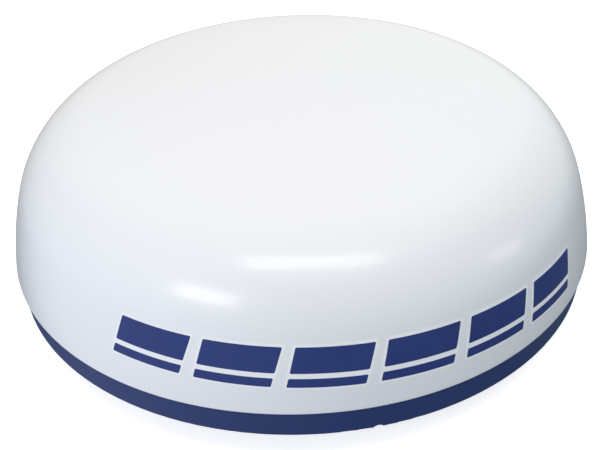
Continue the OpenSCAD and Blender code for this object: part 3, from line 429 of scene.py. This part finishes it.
# ------------------------------------------------------------------ cover
DOME_SEGMENTS = 288
BOSS_SEGMENTS = 48
BEVEL_LEAN = 0.16 * MM
BEVEL_LAND = 0.3 * MM
TONGUE_BEVEL = 0.4 * MM
BOSS_BEVEL = 0.8 * MM
BOSS_BORE_TOP = SEAM_Z + 16 * MM
WEB_HALF = 4 * MM
WEB_REACH = 14.4 * MM
WEB_START = 0.6 * BOSS_R
WEB_TOP = BOSS_TOP - 1.5 * MM
# Corners of a box, four at each end, in the order in which build_cover_bosses makes them.
BOX_FACES = ((0, 1, 3, 2), (4, 6, 7, 5), (0, 4, 5, 1), (2, 3, 7, 6), (1, 5, 7, 3), (0, 2, 6, 4))


def build_cover():
    """The dome shell in one piece: rounded lower edge, rim ring and sealing tongue."""
    bevel_centre = (SEAM_R - RIM_BEVEL - BEVEL_LEAN, SEAM_Z + RIM_BEVEL)
    bevel = arc(bevel_centre, RIM_BEVEL, -math.pi / 2, 0.0, 6)
    outer = dome_line(0.0, SEAM_Z + RIM_BEVEL + BEVEL_LAND)
    ring_top = SEAM_Z + RIM_RING_H
    inner = dome_line(COVER_T, ring_top)
    inner[0] = (inner[0][0], ring_top)
    inner_r, outer_r = TONGUE_R
    tongue = [
        (inner_r, ring_top), (inner_r, TONGUE_LOW + TONGUE_BEVEL), (inner_r + TONGUE_BEVEL, TONGUE_LOW),
        (outer_r - TONGUE_BEVEL, TONGUE_LOW), (outer_r, TONGUE_LOW + TONGUE_BEVEL), (outer_r, SEAM_Z),
    ]
    bm = bmesh.new()
    lathe(bm, inner[::-1] + tongue + bevel + outer, DOME_SEGMENTS)
    return make_object("cover_shell", bm, "cover", "white_gelcoat", 50.0)


def build_cover_bosses():
    """Four bosses inside the rim, each with a web to the wall and a bore for its threaded insert."""
    bm = bmesh.new()
    profile = [
        (0.0, BOSS_BORE_TOP), (INSERT_R, BOSS_BORE_TOP), (INSERT_R, SEAM_Z),
        (BOSS_R - BOSS_BEVEL, SEAM_Z), (BOSS_R, SEAM_Z + BOSS_BEVEL),
        (BOSS_R, BOSS_TOP - BOSS_BEVEL), (BOSS_R - BOSS_BEVEL, BOSS_TOP), (0.0, BOSS_TOP),
    ]
    for k in range(4):
        start = len(bm.verts)
        lathe(bm, profile, BOSS_SEGMENTS)
        v = [bm.verts.new((x, y, z)) for x in (WEB_START, WEB_REACH)
             for y in (-WEB_HALF, WEB_HALF) for z in (SEAM_Z, WEB_TOP)]
        for face in BOX_FACES:
            bm.faces.new([v[i] for i in face])
        bm.verts.ensure_lookup_table()
        place = Matrix.Rotation(k * math.pi / 2, 4, "Z") @ Matrix.Translation((BOLT_RING_R, 0, 0))
        bmesh.ops.transform(bm, matrix=place, verts=bm.verts[start:])
    return make_object("cover_bosses", bm, "cover", "white_gelcoat")


# ------------------------------------------------------------------ decal
DECAL_BLOCKS = 6
DECAL_PITCH = math.radians(15.7)
DECAL_BLOCK_W = 70 * MM
DECAL_H = 38 * MM
DECAL_MID_Z = SEAM_Z + 46 * MM
DECAL_SLANT = 9.0 / 38.0
DECAL_FALL = math.radians(1.4)
DECAL_STEP_Z = SEAM_R * math.sin(DECAL_PITCH) * math.tan(DECAL_FALL)
STRIPE_GAP = 5 * MM
STRIPE_SPLIT = -DECAL_H / 2 + 11 * MM
FILM_MARGIN = 2.5 * MM
FILM_CORNER = 3 * MM
STRIPE_CORNER = 1.2 * MM
FILM_OVERLAP = 0.02 * MM
PATCH_COLUMNS = 36
PATCH_ROWS = 14


def wall_radius(z, lift):
    """Radius of the cover's wall at height z, with a surface lifted off it."""
    return WALL_C.x + math.sqrt((WALL_ARC + lift) ** 2 - (z - WALL_C.y) ** 2)


def stripe_patch(bm, place_no, z_lo, z_hi, half_w, lift_lo, lift_hi, corner):
    """A slanted strip of film wrapped on the wall, with rounded corners and real thickness.

    place_no counts blocks from the bow, and the heights are from the middle of the block.
    """
    turn = Matrix.Rotation(place_no * DECAL_PITCH, 4, "Z")
    mid_z = DECAL_MID_Z - place_no * DECAL_STEP_Z
    height = z_hi - z_lo
    layers = []
    for lift in (lift_lo, lift_hi):
        grid = []
        for j in range(PATCH_ROWS + 1):
            t = 0.5 - 0.5 * math.cos(math.pi * j / PATCH_ROWS)
            z = z_lo + height * t
            from_edge = min(t, 1 - t) * height
            cut = corner - math.sqrt(max(0.0, corner ** 2 - max(0.0, corner - from_edge) ** 2))
            row = []
            for i in range(PATCH_COLUMNS + 1):
                s = -1 + 2 * i / PATCH_COLUMNS
                flat_x = s * (half_w - cut) + DECAL_SLANT * z
                x = flat_x * math.cos(DECAL_FALL) + z * math.sin(DECAL_FALL)
                height_z = mid_z + z * math.cos(DECAL_FALL) - flat_x * math.sin(DECAL_FALL)
                radius = wall_radius(height_z, lift)
                row.append(bm.verts.new(turn @ Vector((x, -math.sqrt(radius ** 2 - x ** 2), height_z))))
            grid.append(row)
        layers.append(grid)
    for grid in layers:
        for below, above in zip(grid, grid[1:]):
            for i in range(PATCH_COLUMNS):
                bm.faces.new((below[i], below[i + 1], above[i + 1], above[i]))
    low, high = [
        g[0] + [r[-1] for r in g[1:-1]] + g[-1][::-1] + [r[0] for r in g[-2:0:-1]] for g in layers
    ]
    for i in range(len(low)):
        j = (i + 1) % len(low)
        bm.faces.new((low[i], low[j], high[j], high[i]))


def build_decal():
    """White film with the blue stripes on it, block by block round the bow side."""
    half = DECAL_H / 2
    spans = [(-half, STRIPE_SPLIT - STRIPE_GAP / 2), (STRIPE_SPLIT + STRIPE_GAP / 2, half)]
    film, marks = bmesh.new(), bmesh.new()
    for k in range(DECAL_BLOCKS):
        place_no = k - (DECAL_BLOCKS - 1) / 2
        stripe_patch(film, place_no, -half - FILM_MARGIN, half + FILM_MARGIN,
                     DECAL_BLOCK_W / 2 + FILM_MARGIN, FILM_OVERLAP, FILM_T, FILM_CORNER)
        for lo, hi in spans:
            stripe_patch(marks, place_no, lo, hi, DECAL_BLOCK_W / 2,
                         FILM_T - FILM_OVERLAP, 2 * FILM_T, STRIPE_CORNER)
    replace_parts(make_object("decal_backing", film, "cover", "decal_white"), "decal_film")
    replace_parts(make_object("decal_stripes", marks, "cover", "decal_blue"), "decal_marks")


# ------------------------------------------------------------------ stage, camera and light
CAMERA_AZIMUTH = math.radians(-12)
CAMERA_ELEVATION = 0.5885
CAMERA_ROLL = 0.0380
CAMERA_DISTANCE = 4.0 * SEAM_R
CAMERA_LENS = 67.05
CAMERA_PITCH = -0.0050
CAMERA_YAW = 0.0004


def direction(azimuth, elevation):
    """Unit vector towards a point at that azimuth (0 is the bow side, -Y) and elevation."""
    flat = math.cos(elevation)
    return Vector((math.sin(azimuth) * flat, -math.cos(azimuth) * flat, math.sin(elevation)))


def build_camera():
    data = bpy.data.cameras.new("camera")
    data.sensor_width = 36
    data.lens = CAMERA_LENS
    cam = bpy.data.objects.new("camera", data)
    bpy.context.scene.collection.objects.link(cam)
    back = direction(CAMERA_AZIMUTH, CAMERA_ELEVATION)
    facing = (-back).to_track_quat("-Z", "Y").to_matrix().to_4x4()
    roll = Matrix.Rotation(-CAMERA_ROLL, 4, "Z")
    yaw = Matrix.Rotation(CAMERA_YAW, 4, "Y")
    pitch = Matrix.Rotation(CAMERA_PITCH, 4, "X")
    aim = roll @ yaw @ pitch
    cam.matrix_world = Matrix.Translation(Vector((0, 0, SEAM_Z)) + back * CAMERA_DISTANCE) @ facing @ aim
    bpy.context.scene.camera = cam


FLOOR_Z = -0.5 * MM
FLOOR_RINGS = (0.0, 1.0, 60.0)
FLOOR_SEGMENTS = 96


def build_floor():
    """A wide pale floor, gently uneven in tone so that it is never one flat colour.

    It shows to the camera and takes shadows, but the surround lights the part through it.
    """
    s = Shader("floor_pale", Roughness=0.9, Emission_Strength=0.75)
    uneven = s.span(s.noise(3.0, 3.0, 0.5), 0.3, 0.7, 0.0, 1.0)
    tone = s.mix(uneven, (0.90, 0.90, 0.90), (0.93, 0.93, 0.93))
    s.feed("Base Color", tone)
    s.feed("Emission Color", tone)
    mesh = bpy.data.meshes.new("floor")
    bm = bmesh.new()
    lathe(bm, [(r, FLOOR_Z) for r in FLOOR_RINGS], FLOOR_SEGMENTS)
    bm.to_mesh(mesh)
    bm.free()
    mesh.materials.append(s.material)
    floor = bpy.data.objects.new("floor", mesh)
    bpy.context.scene.collection.objects.link(floor)
    floor.visible_diffuse = False
    floor.visible_glossy = False
    floor.visible_shadow = False


# Soft panels: centre, direction of the long side, width, height, power, colour.
PANELS = {
    "strip": ((-0.105, -1.09, 2.2), (1.781, -0.472, 0), 1.70, 0.44, 10.0, (0.97, 1.0, 0.94)),
    "left_box": ((-1.641, -1.453, 1.20), (0.62, -0.738, 0), 0.92, 0.46, 7.5, (0.98, 1.0, 0.96)),
    "right_box": ((2.13, -0.97, 0.645), (0.291, 0.476, -0.368), 0.66, 0.32, 1.7, (0.97, 0.92, 1.0)),
}
DOME_MID_Z = SEAM_Z + 90 * MM


def panel_light(name, centre, along, width, height, power, colour):
    """A rectangular soft light facing the dome, its long side turned as near to along as it can be."""
    data = bpy.data.lights.new(name, "AREA")
    data.shape = "RECTANGLE"
    data.size, data.size_y = width, height
    data.energy = power
    data.color = colour
    lamp = bpy.data.objects.new(name, data)
    bpy.context.scene.collection.objects.link(lamp)
    place = Vector(centre)
    back = (place - Vector((0, 0, DOME_MID_Z))).normalized()
    side = Vector(along)
    side = (side - back * side.dot(back)).normalized()
    turn = Matrix((side, back.cross(side), back)).transposed().to_4x4()
    lamp.matrix_world = Matrix.Translation(place) @ turn


# Broad glows of the studio: azimuth, elevation, cosine at which each starts, colour.
GLOWS = (
    (-93, 24, 0.15, (0.234, 0.331, 0.366)),
    (0, 90, 0.40, (0.491, 0.350, 0.342)),
    (168, 30, 0.20, (0.564, 0.505, 0.430)),
    (-70, -15, 0.20, (0.726, 0.700, 0.824)),
)
# The rest of the surround, by side, and the heights between which above fades into below.
HORIZON = (-0.30, 0.02)
ABOVE_RIGHT = (0.598, 0.695, 0.739)
BELOW_LEFT = (0.055, 0.074, 0.068)
BELOW_RIGHT = (0.136, 0.173, 0.210)


def build_world():
    """Soft surroundings: brighter above and on the right, with the broad glows of GLOWS added."""
    world = bpy.data.worlds.new("studio")
    world.use_nodes = True
    bpy.context.scene.world = world
    tree = world.node_tree
    coords = tree.nodes.new("ShaderNodeTexCoord").outputs["Generated"]
    split = tree.nodes.new("ShaderNodeSeparateXYZ")
    tree.links.new(coords, split.inputs["Vector"])

    def ramp(source, lo, hi, to_lo=0.0, to_hi=1.0):
        made = tree.nodes.new("ShaderNodeMapRange")
        made.interpolation_type = "SMOOTHSTEP"
        for key, value in zip(RANGE_INPUTS, (lo, hi, to_lo, to_hi)):
            made.inputs[key].default_value = value
        tree.links.new(source, made.inputs["Value"])
        return made.outputs["Result"]

    def product(a, b):
        made = tree.nodes.new("ShaderNodeMath")
        made.operation = "MULTIPLY"
        tree.links.new(a, made.inputs[0])
        tree.links.new(b, made.inputs[1])
        return made.outputs["Value"]

    above = ramp(split.outputs["Z"], *HORIZON)
    below = ramp(split.outputs["Z"], *HORIZON, 1.0, 0.0)
    right = ramp(split.outputs["X"], -1.0, 1.0)
    left = ramp(split.outputs["X"], -1.0, 1.0, 1.0, 0.0)
    layers = [
        (product(above, right), ABOVE_RIGHT),
        (product(below, left), BELOW_LEFT),
        (product(below, right), BELOW_RIGHT),
    ]
    for azimuth, elevation, start, colour in GLOWS:
        dot = tree.nodes.new("ShaderNodeVectorMath")
        dot.operation = "DOT_PRODUCT"
        dot.inputs[1].default_value = direction(math.radians(azimuth), math.radians(elevation))
        tree.links.new(coords, dot.inputs[0])
        layers.append((ramp(dot.outputs["Value"], start, 1.0), colour))
    total = None
    for factor, colour in layers:
        scaled = tree.nodes.new("ShaderNodeVectorMath")
        scaled.operation = "SCALE"
        scaled.inputs[0].default_value = colour
        tree.links.new(factor, scaled.inputs["Scale"])
        if total is None:
            total = scaled.outputs["Vector"]
            continue
        added = tree.nodes.new("ShaderNodeVectorMath")
        tree.links.new(total, added.inputs[0])
        tree.links.new(scaled.outputs["Vector"], added.inputs[1])
        total = added.outputs["Vector"]
    tree.links.new(total, tree.nodes["Background"].inputs["Color"])


def build_light():
    build_world()
    for name, settings in PANELS.items():
        panel_light(name, *settings)


paint_cad_nodes()
cover = build_cover()
build_cover_bosses()
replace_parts(cover, "radome_cover")
build_decal()
build_camera()
build_floor()
build_light()
bpy.context.scene.view_settings.view_transform = "Standard"
